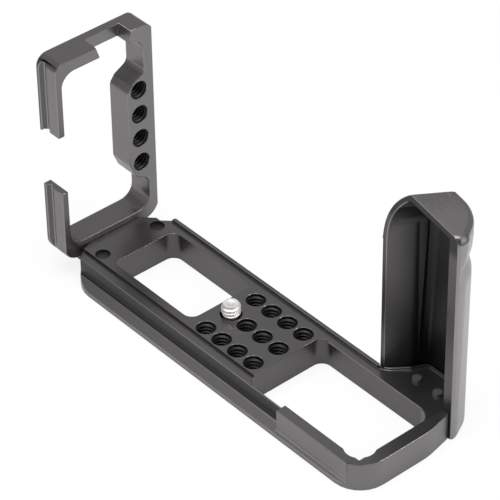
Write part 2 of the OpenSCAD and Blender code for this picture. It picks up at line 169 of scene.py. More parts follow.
floor_finish, tree = new_material("pale_floor")
paint = add_node(tree, "ShaderNodeBsdfDiffuse", {"Color": FLOOR_PAINT})
white = add_node(tree, "ShaderNodeEmission")
rays = add_node(tree, "ShaderNodeLightPath")
seen = arithmetic(tree, "MULTIPLY", rays.outputs["Is Camera Ray"], FLOOR_WHITE_SEEN)
mirrored = arithmetic(tree, "MULTIPLY", rays.outputs["Is Glossy Ray"], FLOOR_WHITE_MIRRORED)
share = arithmetic(tree, "MAXIMUM", seen, mirrored)
blend = add_node(tree, "ShaderNodeMixShader",
                 {"Fac": share, 1: paint.outputs["BSDF"], 2: white.outputs["Emission"]})
add_node(tree, "ShaderNodeOutputMaterial", {"Surface": blend.outputs["Shader"]})

half = FLOOR_SIZE / 2 * MM
height = cad_box[0][2]
floor_mesh = bpy.data.meshes.new("studio_floor")
floor_mesh.from_pydata([(-half, -half, height), (half, -half, height),
                        (half, half, height), (-half, half, height)], [], [(0, 1, 2, 3)])
floor_mesh.materials.append(floor_finish)
floor = add_object("studio_floor", floor_mesh)
floor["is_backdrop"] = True
print("floor at %.1f mm" % (height / MM))

# %% Room and lamps
ROOM_COLOUR = (0.28, 0.28, 0.2828, 1)
AIM = Vector((15, 5, 20)) * MM

# Each lamp has a place in mm, a width and height in mm, and its watts.
LAMPS = {
    "overhead_lamp": ((20, -120, 720), (620, 520), 5.6),
    "right_lamp": ((640, 260, 260), (420, 420), 3.8),
    "front_lamp": ((-260, -620, 300), (520, 360), 0.45),
    "back_lamp": ((-480, 420, 480), (600, 600), 0.30),
}

world = bpy.data.worlds.new("studio_room")
bpy.context.scene.world = world
world.use_nodes = True
world.node_tree.nodes["Background"].inputs["Color"].default_value = ROOM_COLOUR

for name, (place, size, watts) in LAMPS.items():
    light = bpy.data.lights.new(name, "AREA")
    light.shape = "RECTANGLE"
    light.size = size[0] * MM
    light.size_y = size[1] * MM
    light.energy = watts
    lamp = add_object(name, light)
    lamp.location = Vector(place) * MM
    lamp.rotation_euler = (AIM - lamp.location).to_track_quat("-Z", "Y").to_euler()
    print("%s at %.0f mm, %.1f W" % (name, (lamp.location - AIM).length / MM, watts))

bpy.context.scene.view_settings.view_transform = "Standard"

# %% [markdown]
# ## Shared effects
#
# Anodised aluminium is blasted with fine beads and then dyed, which leaves a grain of a
# tenth of a millimetre, a slow drift of tone and faint marks of handling. The same grain
# sits on every piece, so it is a node group with its own inputs. The group puts out a
# colour, a roughness and a height. The shader itself stays in each material.


# %% Helpers for node groups
def new_group(name, inputs, outputs):
    group = bpy.data.node_groups.new(name, "ShaderNodeTree")
    for title, kind, value in inputs:
        socket = group.interface.new_socket(title, in_out="INPUT", socket_type=kind)
        socket.default_value = value
    for title, kind in outputs:
        group.interface.new_socket(title, in_out="OUTPUT", socket_type=kind)
    start = group.nodes.new("NodeGroupInput")
    end = group.nodes.new("NodeGroupOutput")
    return group, start.outputs, end.inputs


def use_group(tree, group, inputs):
    node = add_node(tree, "ShaderNodeGroup", node_tree=group)
    for name, value in inputs.items():
        fill(tree, node.inputs[name], value)
    return node.outputs


def noise(tree, place, scale, detail=2.0, roughness=0.5):
    node = add_node(tree, "ShaderNodeTexNoise", {"Vector": place, "Scale": scale,
                                                 "Detail": detail, "Roughness": roughness})
    return node.outputs["Fac"]


def remap(tree, value, seen_range, wanted_range=(0.0, 1.0), curve="LINEAR"):
    node = add_node(tree, "ShaderNodeMapRange",
                    {"Value": value,
                     "From Min": seen_range[0], "From Max": seen_range[1],
                     "To Min": wanted_range[0], "To Max": wanted_range[1]},
                    interpolation_type=curve)
    return node.outputs["Result"]


def mixed_colour(tree, mask, first, second):
    node = add_node(tree, "ShaderNodeMix", {"Factor": mask, "A": first, "B": second},
                    data_type="RGBA")
    return node.outputs["Result"]


def vector_math(tree, operation, *values):
    return add_node(tree, "ShaderNodeVectorMath", dict(enumerate(values)),
                    operation=operation).outputs


# %% Bead-blasted grain
GRAIN_PER_METRE = 9000.0
DRIFT_PER_METRE = 26.0
SPECKLE_SHARE = 0.55
CLOUD_SHARE = 0.45

grain, given, result = new_group(
    "bead_blasted_grain",
    [("Place", "NodeSocketVector", (0, 0, 0)),
     ("Dark", "NodeSocketColor", (0.1, 0.1, 0.1, 1)),
     ("Light", "NodeSocketColor", (0.2, 0.2, 0.2, 1)),
     ("Roughness", "NodeSocketFloat", 0.4),
     ("Roughness Spread", "NodeSocketFloat", 0.06),
     ("Grain Scale", "NodeSocketFloat", GRAIN_PER_METRE),
     ("Drift Scale", "NodeSocketFloat", DRIFT_PER_METRE)],
    [("Colour", "NodeSocketColor"), ("Roughness", "NodeSocketFloat"),
     ("Height", "NodeSocketFloat")])
fine = noise(grain, given["Place"], given["Grain Scale"], detail=3.0, roughness=0.6)
drift = noise(grain, given["Place"], given["Drift Scale"])
speckle = remap(grain, fine, (0.3, 0.7), (0.0, SPECKLE_SHARE))
cloud = remap(grain, drift, (0.25, 0.75), (0.0, CLOUD_SHARE))
tone = arithmetic(grain, "ADD", speckle, cloud)
uneven = arithmetic(grain, "SUBTRACT", tone, 0.5)
swing = arithmetic(grain, "MULTIPLY", uneven, given["Roughness Spread"])
fill(grain, result["Colour"], mixed_colour(grain, tone, given["Dark"], given["Light"]))
fill(grain, result["Roughness"], arithmetic(grain, "ADD", given["Roughness"], swing))
fill(grain, result["Height"], fine)
print("grain of %.2f mm" % (1 / GRAIN_PER_METRE / MM))

# %% [markdown]
# Fingers leave soft, wide patches that shine a little more, and plates that slide through
# clamps get thin straight scratches. One group makes a mask for each, which a material
# can take from or add to its roughness. The scratches run along X because the noise is
# stretched that way, and they show only inside the patches.

# %% Marks of handling
SCRATCH_STRETCH = 0.02

handling, given, result = new_group(
    "marks_of_handling",
    [("Place", "NodeSocketVector", (0, 0, 0)),
     ("Patch Scale", "NodeSocketFloat", 55.0),
     ("Scratch Scale", "NodeSocketFloat", 900.0),
     ("Patch Strength", "NodeSocketFloat", 0.07),
     ("Scratch Strength", "NodeSocketFloat", 0.10)],
    [("Shine", "NodeSocketFloat"), ("Scratches", "NodeSocketFloat")])
smudges = noise(handling, given["Place"], given["Patch Scale"], detail=4.0)
patches = remap(handling, smudges, (0.52, 0.72))
stretched = add_node(handling, "ShaderNodeMapping",
                     {"Vector": given["Place"], "Scale": (SCRATCH_STRETCH, 1, 1)})
streaks = noise(handling, stretched.outputs["Vector"], given["Scratch Scale"], detail=1.0)
hairs = arithmetic(handling, "MULTIPLY", remap(handling, streaks, (0.70, 0.76)), patches)
fill(handling, result["Shine"],
     arithmetic(handling, "MULTIPLY", patches, given["Patch Strength"]))
fill(handling, result["Scratches"],
     arithmetic(handling, "MULTIPLY", hairs, given["Scratch Strength"]))
print("%s: %d nodes" % (handling.name, len(handling.nodes)))

# %% [markdown]
# A lathe leaves rings round the axis of every screw head and tip. They depend only on the
# distance from the axis, so the group takes a centre and measures that distance itself.

# %% Lathe rings
rings, given, result = new_group(
    "lathe_rings",
    [("Place", "NodeSocketVector", (0, 0, 0)),
     ("Centre", "NodeSocketVector", (0, 0, 0)),
     ("Ring Scale", "NodeSocketFloat", 5000.0)],
    [("Height", "NodeSocketFloat"), ("Mask", "NodeSocketFloat")])
offset = vector_math(rings, "SUBTRACT", given["Place"], given["Centre"])
in_plan = vector_math(rings, "MULTIPLY", offset["Vector"], (1, 1, 0))
away = vector_math(rings, "LENGTH", in_plan["Vector"])
phase = arithmetic(rings, "MULTIPLY", away["Value"], given["Ring Scale"])
wave = arithmetic(rings, "SINE", phase)
fill(rings, result["Height"], wave)
fill(rings, result["Mask"], remap(rings, wave, (-1.0, 1.0)))
print("%s: %d nodes" % (rings.name, len(rings.nodes)))

# %% [markdown]
# The grip's hollow is painted darker the deeper it is, a painted shade, and the top of its
# rim fades into that painted dark. A group that mixes two colours along a direction does
# both. It could be one ramp inside each finish, but as a group its two ends stay plain lengths.

# %% Fade across a wall
painted_shade_fade, given, result = new_group(
    "painted_shade_fade",
    [("Place", "NodeSocketVector", (0, 0, 0)),
     ("Along", "NodeSocketVector", (1, 0, 0)),
     ("From", "NodeSocketFloat", 0.0),
     ("To", "NodeSocketFloat", 0.01),
     ("Near", "NodeSocketColor", (0.1, 0.1, 0.1, 1)),
     ("Far", "NodeSocketColor", (0.03, 0.03, 0.03, 1))],
    [("Colour", "NodeSocketColor")])
along = vector_math(painted_shade_fade, "DOT_PRODUCT", given["Place"], given["Along"])
ramp = remap(painted_shade_fade, along["Value"], (given["From"], given["To"]), curve="SMOOTHSTEP")
fill(painted_shade_fade, result["Colour"],
     mixed_colour(painted_shade_fade, ramp, given["Near"], given["Far"]))
print("groups:", ", ".join(group.name for group in bpy.data.node_groups))

# %% [markdown]
# ## Finishes
#
# Each finish is a metal with its own shader. The dark anodised layer is written as a metal
# of low, slightly warm reflectance, because that gives pale upright faces beside a dark
# deck as the real one does. The broken edges have a paler finish of their own, a painted
# highlight on the bright line each chamfer catches. Recesses, hollows and threads have
# darker ones, painted shade where the real room holds nothing bright.

# %% Anodised finish
ANODISED_METAL = 0.92
GRAIN_BUMP = 0.06
GRAIN_HEIGHT = 0.05 * MM


def opaque(colour):
    return (*colour, 1)


def anodised(name, dark, light, roughness, spread=0.06, fading=None):
    material, tree = new_material(name)
    place = add_node(tree, "ShaderNodeTexCoord").outputs["Object"]
    tones = {"Dark": opaque(dark), "Light": opaque(light)}
    if fading:
        low, high, far, along = fading
        faded = use_group(tree, painted_shade_fade, {
            "Place": place, "Along": along, "From": low * MM, "To": high * MM,
            "Near": opaque(dark), "Far": opaque(far)})["Colour"]
        tones = {"Dark": faded, "Light": faded}
    body = use_group(tree, grain, {"Place": place, **tones, "Roughness": roughness,
                                   "Roughness Spread": spread})
    marks = use_group(tree, handling, {"Place": place})
    smoother = arithmetic(tree, "SUBTRACT", body["Roughness"], marks["Shine"])
    rougher = arithmetic(tree, "ADD", smoother, marks["Scratches"])
    relief = add_node(tree, "ShaderNodeBump", {"Strength": GRAIN_BUMP,
                                               "Distance": GRAIN_HEIGHT,
                                               "Height": body["Height"]})
    shader = add_node(tree, "ShaderNodeBsdfPrincipled", {
        "Metallic": ANODISED_METAL, "Base Color": body["Colour"], "Roughness": rougher,
        "Normal": relief.outputs["Normal"]})
    add_node(tree, "ShaderNodeOutputMaterial", {"Surface": shader.outputs["BSDF"]})
    return material


# One anodised metal: the side plate's and the grip's lighter greys are painted light on their
# upright and round faces.
base_finish = anodised("anodised_base_plate", (0.138, 0.131, 0.134), (0.176, 0.168, 0.171), 0.30)
side_finish = anodised("anodised_side_plate", (0.150, 0.142, 0.146), (0.188, 0.180, 0.183), 0.32)
grip_finish = anodised("anodised_grip_shell", (0.212, 0.202, 0.206), (0.272, 0.261, 0.265), 0.31)
# The paler edge finish is a painted highlight on the bright line a chamfer catches.
edge_highlight_finish = anodised("pale_edge_painted_highlight", (0.19, 0.182, 0.186), (0.26, 0.25, 0.254), 0.30,
                       spread=0.08)
# The next four finishes are darker greys, painted shade: in recesses, deep in holes, over the
# glint at the cap's corner and in the threads.
shaded_finish = anodised("shaded_recess", (0.088, 0.083, 0.085), (0.112, 0.106, 0.109), 0.32)
deep_shade_finish = anodised("deep_recess_painted_shade", (0.034, 0.033, 0.034), (0.048, 0.046, 0.047), 0.34)
corner_shade_finish = anodised("cap_corner_painted_shade", (0.082, 0.079, 0.081), (0.098, 0.095, 0.097), 0.46)
thread_shade_finish = anodised("tapped_thread_painted_shade", (0.020, 0.019, 0.020), (0.032, 0.031, 0.032), 0.46)
print("plain finishes:", ", ".join(material.name for material in (
    base_finish, side_finish, grip_finish, edge_highlight_finish, shaded_finish, deep_shade_finish,
    corner_shade_finish, thread_shade_finish)))

# %% Finishes that fade
# The grip's inside is painted shade that darkens deeper in, and its rim painted shade that
# darkens towards the top.
HOLLOW_SHADE_GREY = (0.095, 0.090, 0.091)
HOLLOW_SHADE_DARK = (0.028, 0.027, 0.028)
HOLLOW_SHADE_SPAN = (50.5, 57.5)
RIM_SHADE_GREY = (0.097, 0.092, 0.094)
RIM_SHADE_DARK = (0.036, 0.034, 0.035)
RIM_SHADE_SPAN = (57.5, 62)

hollow_shade_finish = anodised("grip_inside_painted_shade", HOLLOW_SHADE_GREY, HOLLOW_SHADE_GREY, 0.36,
                        fading=(*HOLLOW_SHADE_SPAN, HOLLOW_SHADE_DARK, (1, 0, 0)))
rim_shade_finish = anodised("grip_rim", RIM_SHADE_GREY, RIM_SHADE_GREY, 0.32,
                      fading=(*RIM_SHADE_SPAN, RIM_SHADE_DARK, (0, 0, 1)))
print("fading finishes: %s, %s" % (hollow_shade_finish.name, rim_shade_finish.name))

# %% [markdown]
# Turned steel needs no dye, only its own grey and the lathe's rings. The camera screw is
# the one bright piece, so its rings are deep enough to break up its highlights, and so
# are those on the tips of the grip's screws. The circlip and the other screws are steel
# too, so the same recipe serves them with darker greys.

# %% Turned steel finish
RING_UNEVEN = 0.06
RING_HEIGHT = 0.02 * MM
GRIP_SCREWS_X = (61, 70.1)
GRIP_SCREWS_Y = 22.4


def turned_steel(name, colour, dark, roughness, centre=(0, 0, 0), bump=0.12):
    material, tree = new_material(name)
    place = add_node(tree, "ShaderNodeTexCoord").outputs["Object"]
    lathe = use_group(tree, rings, {"Place": place, "Centre": Vector(centre) * MM})
    body = use_group(tree, grain, {"Place": place, "Dark": opaque(dark),
                                   "Light": opaque(colour), "Roughness": roughness,
                                   "Grain Scale": GRAIN_PER_METRE / 3})
    uneven = arithmetic(tree, "MULTIPLY_ADD", lathe["Mask"], RING_UNEVEN, body["Roughness"])
    relief = add_node(tree, "ShaderNodeBump", {"Strength": bump, "Distance": RING_HEIGHT,
                                               "Height": lathe["Height"]})
    shader = add_node(tree, "ShaderNodeBsdfPrincipled", {
        "Metallic": 1, "Base Color": body["Colour"], "Roughness": uneven,
        "Normal": relief.outputs["Normal"]})
    add_node(tree, "ShaderNodeOutputMaterial", {"Surface": shader.outputs["BSDF"]})
    return material


bright_steel = turned_steel("bright_screw_steel", (1.0, 0.99, 0.97), (0.80, 0.79, 0.77), 0.48,
                            bump=0.5)
spring_steel = turned_steel("clip_spring_steel", (0.34, 0.34, 0.35), (0.22, 0.22, 0.23), 0.32)
black_steel = turned_steel("black_oxide_steel", (0.11, 0.11, 0.115), (0.06, 0.06, 0.063), 0.36)

# The two grip screws share one finish, so its rings run round the right-hand one.
plain_steel = turned_steel("plain_screw_steel", (0.55, 0.54, 0.53), (0.22, 0.217, 0.215), 0.42,
                           centre=(GRIP_SCREWS_X[1], GRIP_SCREWS_Y, 0), bump=0.6)
print("steels: %s, %s, %s, %s" % (bright_steel.name, spring_steel.name, black_steel.name,
                                  plain_steel.name))

# %% [markdown]
# ## Which face gets which finish
#
# The plates are one metal, but the photographer's room isn't one light. Walls of windows
# and holes, the walls behind the deck's strips and the inside of the grip stand in shade.
# Each face is sorted by its place and by the direction it looks in, and the walls in
# shade get a darker finish. Painting a mask by hand would do it too, but a rule in
# millimetres can be read and changed.
#
# The holes come first, because every plate has some. A hole is a place on its axis, the
# axis and a reach.

# %% Places of the holes
UP = Vector((0, 0, 1))
ACROSS = Vector((1, 0, 0))
PITCH_X, PITCH_Y = 7.5, 10.3
SIDE_HOLE_Y = 12.1
SIDE_HOLE_LOW = 21.3
SIDE_PITCH = 9.375
SIDE_SCREW_X, SIDE_SCREW_Y = -50.2, 11.3
TAPPED_REACH = 3.5
SCREW_BORE_REACH = 5.6
SIDE_SCREW_REACH = 4.2
GRIP_SCREW_REACH = 3.4

deck_holes = [(i * PITCH_X, row * PITCH_Y) for row in (-1, 0, 1)
              for i in range(1 if row == 0 else 0, 4)]
side_heights = [SIDE_HOLE_LOW + i * SIDE_PITCH for i in range(4)]
tapped_places = [((x, y, 0), UP, TAPPED_REACH) for x, y in deck_holes]
bore_places = [((0, 0, 0), UP, SCREW_BORE_REACH)]
side_screw_places = [((SIDE_SCREW_X, y, 0), UP, SIDE_SCREW_REACH)
                     for y in (-SIDE_SCREW_Y, SIDE_SCREW_Y)]
grip_screw_places = [((x, GRIP_SCREWS_Y, 0), UP, GRIP_SCREW_REACH) for x in GRIP_SCREWS_X]
side_tapped_places = [((0, SIDE_HOLE_Y, z), ACROSS, TAPPED_REACH) for z in side_heights]
print("tapped holes: %d in the deck, %d in the side plate" % (len(deck_holes),
                                                              len(side_heights)))

# %% Faces in holes
# Past the plain zone, the pale one is a painted highlight and the others are painted shade.
PLAIN, PALE_HIGHLIGHT, DEEP_SHADE, SHADED, INNER_SHADE, CORNER_SHADE, RIM_SHADE = range(7)
HOLE_WALL = 0.5
HOLE_CHAMFER = 0.9


def off_axis(point, place, axis):
    away = point - Vector(place)
    return (away - axis * away.dot(axis)).length


# A hole's wall gets the darkest painted shade and its chamfer the pale painted highlight.
def hole_zone(centre, normal, holes):
    lean = [abs(normal.dot(axis)) for place, axis, reach in holes
            if off_axis(centre, place, axis) < reach]
    for share in lean:
        if share < HOLE_WALL:
            return DEEP_SHADE
        if share < HOLE_CHAMFER:
            return PALE_HIGHLIGHT
    return None


print("the wall of the camera screw's hole is zone %d" % hole_zone(
    Vector((SCREW_BORE_REACH - 1, 0, -5)), -ACROSS, bore_places))

# %% [markdown]
# The base plate has shade on the wall above its near dovetail, on the walls behind the
# two long strips and on the walls of its windows. The side plate has it in the groove of
# its near posts and on the inside of the low post. The rest stays plain.

# %% Zones of the base plate and the side plate
FACING = 0.9
UPRIGHT = 0.5

# FAR lies beyond the whole bracket, for a box that is open on that side.
FAR = 99
NEAR_WALL = ((-FAR, -18.5, -6.4), (43.9, -17.3, -0.9))
DECK_EDGE = ((-FAR, -14.2, -1.1), (FAR, -14, FAR))
FAR_STRIP = ((-FAR, 17, -1.1), (FAR, FAR, FAR))
WINDOWS = (((-45.5, -15.6, -FAR), (-5, 15.6, FAR)), ((26, -15.6, -FAR), (78, 15.6, FAR)))
POST_GROOVE = ((-FAR, -FAR, -FAR), (-61.5, -19.3, FAR))
POST_GROOVE_FACING = 0.3
LOW_POST = ((-FAR, -FAR, -FAR), (FAR, -14, 25))


def inside(point, box):
    return all(low < value < high for low, value, high in zip(box[0], point, box[1]))


# Faces sent to the darker zones here and in side_zone get painted shade.
def base_zone(centre, normal):
    if inside(centre, NEAR_WALL):
        return DEEP_SHADE
    if -normal.y > FACING and inside(centre, FAR_STRIP):
        return DEEP_SHADE
    if -normal.y > FACING and inside(centre, DECK_EDGE):
        return SHADED
    if abs(normal.z) < UPRIGHT and any(inside(centre, window) for window in WINDOWS):
        return SHADED
    return PLAIN


def side_zone(centre, normal):
    if -normal.y > POST_GROOVE_FACING and inside(centre, POST_GROOVE):
        return SHADED
    if normal.x > FACING and inside(centre, LOW_POST):
        return DEEP_SHADE
    return PLAIN


print("a window's wall is zone %d and the deck beside it zone %d" % (
    base_zone(Vector((-20, -12, -5)), ACROSS), base_zone(Vector((-20, -12, 0)), UP)))

# %% [markdown]
# The grip is hollow, so a face whose normal points towards the grip's middle belongs to
# its inside, which gets painted shade. What looks out of its mouth is the rim, which gets
# painted shade too, and so do the forward faces near the top. Where the cap meets the rim's
# right end, a few small faces catch the right lamp, and they get a darker, rougher finish
# that paints shade over their glint.

# %% Zones of the grip
GRIP_CENTRE = Vector((66, 21, 30))
CAP_LOW = 60
CAP_FACING = 0.3
CORNER_PLACE = (79.8, 64)
CORNER_SLOPE = (0.15, 0.7)


def grip_zone(centre, normal):
    if normal.dot(GRIP_CENTRE - centre) > 0 and abs(normal.z) < UPRIGHT:
        return INNER_SHADE
    if -normal.y > FACING:
        return RIM_SHADE
    if centre.z > CAP_LOW and -normal.y > CAP_FACING:
        return SHADED
    # The cap's corner faces get a darker, rougher finish, painted shade over the right lamp's
    # glint.
    at_corner = centre.x > CORNER_PLACE[0] and centre.z > CORNER_PLACE[1]
    if at_corner and CORNER_SLOPE[0] < normal.z < CORNER_SLOPE[1]:
        return CORNER_SHADE
    return PLAIN


print("the rim of the grip's mouth is zone %d" % grip_zone(
    Vector((80, 17, 30)), Vector((0, -1, 0))))

# %% [markdown]
# ## Broken edges
#
# No machined edge is perfectly sharp. A light chamfer of a few tenths of a millimetre
# catches a bright line, and that line is most of what tells metal from plastic. The CAD
# solids keep sharp edges for exact fits, so a copy of each plate gets the chamfer here.
# The copy is cleaned first: its doubled points are merged and the triangles of each flat
# face are joined, and then only edges between large faces are bevelled.
#
# A bevel can be weighed edge by edge. Inside some boxes it is narrower or left out: where
# the photograph shows a soft edge, and where faces are too small to carry a chamfer.

# %% Clean a copy of a plate
MERGE_WITHIN = 0.002
FLAT_WITHIN = math.radians(0.4)


def cleaned(mesh):
    bm = bmesh.new()
    bm.from_mesh(mesh)
    bmesh.ops.remove_doubles(bm, verts=bm.verts, dist=MERGE_WITHIN * MM)
    bmesh.ops.dissolve_limit(bm, angle_limit=FLAT_WITHIN, verts=bm.verts,
                             edges=bm.edges, delimit=set())
    return bm


def mesh_from(bm, name):
    mesh = bpy.data.meshes.new(name)
    bm.to_mesh(mesh)
    bm.free()
    return mesh


print("points merged within %g mm" % MERGE_WITHIN)

# %% Choose the edges to break
SHARP = math.radians(33)

# A face smaller than a square with this side carries no chamfer.
SMALLEST_SIDE = 0.9


def middle(edge):
    return (edge.verts[0].co + edge.verts[1].co) / 2 / MM


def can_bevel(edge, holes, zone):
    """Edges at a hole, and those between two facets inside the grip, stay as they are."""
    faces = edge.link_faces
    if len(faces) != 2 or edge.calc_face_angle(0) < SHARP:
        return False
    if min(face.calc_area() for face in faces) < (SMALLEST_SIDE * MM) ** 2:
        return False
    if any(off_axis(middle(edge), place, axis) < reach for place, axis, reach in holes):
        return False
    return any(zone(face.calc_center_median() / MM, face.normal) != INNER_SHADE for face in faces)


def edge_strength(edge, quiet):
    for box, strength in quiet:
        if inside(middle(edge), box):
            return strength
    return 1.0


def weigh_edges(bm, holes, zone, quiet):
    layers = bm.edges.layers.float
    weight = layers.get("bevel_weight_edge") or layers.new("bevel_weight_edge")
    chosen = [edge for edge in bm.edges if can_bevel(edge, holes, zone)]
    for edge in chosen:
        edge[weight] = edge_strength(edge, quiet)
    return sum(edge[weight] > 0 for edge in chosen)


print("edges sharper than %.0f degrees" % math.degrees(SHARP))

# %% [markdown]
# The bevel is a modifier, so it stays editable and the copy keeps its plain points. The
# shading is smooth across gentle creases and sharp at the others. Weighted normals then
# keep the large flat faces flat up to the narrow chamfers beside them.

# %% Shading and bevel
EDGE_WIDTH = 0.24


def sharpen_edges(bm, crease, flat_box):
    for edge in bm.edges:
        edge.smooth = edge.calc_face_angle(math.pi) < math.radians(crease)
    for face in bm.faces:
        if flat_box and inside(face.calc_center_median() / MM, flat_box):
            for edge in face.edges:
                edge.smooth = False


def add_bevel(piece):
    bevel = piece.modifiers.new("edge", "BEVEL")
    bevel.limit_method = "WEIGHT"
    bevel.width = EDGE_WIDTH * MM
    bevel.segments = 1
    # The chamfer faces take the pale edge finish, a painted highlight.
    bevel.material = PALE_HIGHLIGHT
    bevel.use_clamp_overlap = False
    bevel.miter_outer = "MITER_SHARP"
    piece.modifiers.new("corners", "WEIGHTED_NORMAL").keep_sharp = True


print("edges broken %.2f mm wide" % EDGE_WIDTH)

# %% Recipe for a large piece
CREASE = 25

# A piece has its own finish first and then these, in the order of the zones' numbers: a painted
# highlight for edges, then painted shades.
ZONE_FINISHES = (edge_highlight_finish, deep_shade_finish, shaded_finish, hollow_shade_finish, corner_shade_finish,
                 rim_shade_finish)


def broken_edges(node, finish, holes, zone, quiet, crease=CREASE, flat_box=None):
    bm = cleaned(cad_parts[node].data)
    chosen = weigh_edges(bm, holes, zone, quiet)
    sharpen_edges(bm, crease, flat_box)
    mesh = mesh_from(bm, node + "_edges")
    for material in (finish, *ZONE_FINISHES):
        mesh.materials.append(material)
    for face in mesh.polygons:
        centre = face.center / MM
        hole = hole_zone(centre, face.normal, holes)
        face.material_index = zone(centre, face.normal) if hole is None else hole
        face.use_smooth = True
    piece = add_object(node + "_finished", mesh)
    add_bevel(piece)
    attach(piece, "bracket")
    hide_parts(node)
    print("%s: %d edges broken" % (node, chosen))
    return piece


print("finishes on a large piece: %d" % (1 + len(ZONE_FINISHES)))

# %% [markdown]
# ## The three large pieces
#
# The base plate, the side plate and the grip shell are machined from aluminium. Each could
# be modelled again with its chamfers, but the recipe takes the CAD solid as it is, so the
# fits between them stay exact. Only their zones, holes and quiet boxes differ.

# %% Base plate
BASE_CREASE = 17

# The dovetail runs out in small faces at the near corner, which are shaded flat.
RUN_OUT = ((73, -21, -11), (75.9, -19.6, 0.1))

# In order: the deck's near edge, the fence, the rims on the deck, the deck's right end
# and two small places at the near corner.
BASE_QUIET = (
    (((-FAR, -14.3, -1.2), (FAR, -13.9, 0.2)), 0.0),
    (((-FAR, 17.0, -0.5), (FAR, 17.3, 9)), 0.4),
    (((-46, -13.9, -0.3), (78, 14, 0.3)), 0.4),
    (((78, -18, -0.3), (82, 20, 0.3)), 0.25),
    (((73, -21, -9.5), (75.9, -19.6, -7)), 0.0),
    (((75.5, -20, -0.1), (75.9, -19.8, 0.1)), 0.0),
)

base_holes = tapped_places + bore_places + side_screw_places + grip_screw_places
base_piece = broken_edges("base_plate", base_finish, base_holes, base_zone, BASE_QUIET,
                          BASE_CREASE, RUN_OUT)

# %% Side plate
SIDE_TOP = ((-68, 0, 66), (-57, 20, 74))
SIDE_QUIET = ((SIDE_TOP, 0.35),)

side_holes = side_tapped_places + side_screw_places
side_piece = broken_edges("side_plate", side_finish, side_holes, side_zone, SIDE_QUIET)

# %% Grip shell
CAP_CORNER = ((79.8, 17.5, 64), (81.4, 22.6, 66.4))
CAP_LIP = ((70, 17, 64), (81.4, 20, 75))
GRIP_QUIET = ((CAP_CORNER, 0.0), (CAP_LIP, 0.25))

grip_piece = broken_edges("grip_shell", grip_finish, grip_screw_places, grip_zone, GRIP_QUIET)

# %% [markdown]
# ## Threads
#
# The tapped holes of the CAD model are plain bores at the thread's root. A real thread is
# one ridge that climbs the wall, 20 turns to the inch. It could be a texture, but holes
# seen at a slant show the turns as bright slices, so each ridge is real geometry: a small
# tapered section swept up a helix, sunk a hair into the wall and closed at both ends.


# %% Thread ridges
TURN = 25.4 / 20
TAPPED_RADIUS = 3.175
SUNK = 0.03
RIDGE_HIGH = 0.58
FOOT_RADIUS = TAPPED_RADIUS + SUNK
CREST_RADIUS = TAPPED_RADIUS - RIDGE_HIGH
FOOT_SHARE, CREST_SHARE = 0.44, 0.09
STEPS_PER_TURN = 30
FADE_STEPS = 12
THIN_END_SHARE = 0.2

# Each point of the section has its radius in the hole and its shift along the hole, as a
# share of a turn.
RIDGE_SECTION = ((FOOT_RADIUS, -FOOT_SHARE), (CREST_RADIUS, -CREST_SHARE),
                 (CREST_RADIUS, CREST_SHARE), (FOOT_RADIUS, FOOT_SHARE))


def ridge_loop(bm, centre, outward, axis, rise, fade):
    loop = []
    for full_radius, share in RIDGE_SECTION:
        radius = FOOT_RADIUS - (FOOT_RADIUS - full_radius) * fade
        shift = share * TURN * max(fade, THIN_END_SHARE)
        loop.append(bm.verts.new((centre + outward * radius + axis * (rise + shift)) * MM))
    return loop


def skin(bm, loops):
    """Join each loop of points to the next one and close both ends."""
    count = len(loops[0])
    for here, there in zip(loops, loops[1:]):
        for k in range(count):
            after = (k + 1) % count
            bm.faces.new((here[k], there[k], there[after], here[after]))
    bm.faces.new(loops[0])
    bm.faces.new(reversed(loops[-1]))


def ridge(bm, centre, axis, low, high):
    side = axis.orthogonal().normalized()
    other = axis.cross(side)
    steps = int((high - low - TURN) / TURN * STEPS_PER_TURN)
    loops = []
    for i in range(steps + 1):
        angle = math.tau * i / STEPS_PER_TURN
        outward = side * math.cos(angle) + other * math.sin(angle)
        rise = low + TURN / 2 + TURN * i / STEPS_PER_TURN
        fade = min(1, i / FADE_STEPS, (steps - i) / FADE_STEPS)
        loops.append(ridge_loop(bm, centre, outward, axis, rise, fade))
    skin(bm, loops)


print("one turn every %.2f mm" % TURN)

# %% Threads of the two plates
MERGE_RIDGE = 0.0005
SHADE_SHARP = math.radians(35)

# The through holes end at the base plate's underside and at the side plate's two faces.
# The hole beside the camera screw is blind.
BASE_LOW, BLIND_LOW = -10.3, -5.3
SIDE_OUTSIDE, SIDE_INSIDE = -67.1, -57.9


def turned_mesh(bm, name, finish):
    bmesh.ops.recalc_face_normals(bm, faces=bm.faces)
    mesh = mesh_from(bm, name)
    mesh.shade_smooth()
    mesh.set_sharp_from_angle(angle=SHADE_SHARP)
    mesh.materials.append(finish)
    return mesh


def thread_piece(name, ridges):
    bm = bmesh.new()
    for centre, axis, low, high in ridges:
        ridge(bm, Vector(centre), axis, low, high)
    bmesh.ops.remove_doubles(bm, verts=bm.verts, dist=MERGE_RIDGE * MM)
    # The ridges take the dark thread finish, painted shade in the dark holes.
    mesh = turned_mesh(bm, name, thread_shade_finish)
    piece = add_object(name, mesh)
    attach(piece, "bracket")
    print("%s: %d ridges, %d faces" % (name, len(ridges), len(mesh.polygons)))


def deck_thread_low(x, y):
    return BLIND_LOW if (x, y) == (PITCH_X, 0) else BASE_LOW


thread_piece("base_threads", [((x, y, 0), UP, deck_thread_low(x, y), 0)
                              for x, y in deck_holes])
thread_piece("side_threads", [((0, SIDE_HOLE_Y, z), ACROSS, SIDE_OUTSIDE, SIDE_INSIDE)
                              for z in side_heights])

# %% [markdown]
# ## The camera screw
#
# The bright screw is turned from stainless steel. Its neck is thinner than its thread, so
# it can't fall out of the plate, and its low head has a hexagon socket. A lathe shape is a
# profile spun round an axis, and a thread is the same shape with its radius rising and
# falling along a helix, so one grid of points makes the whole screw.

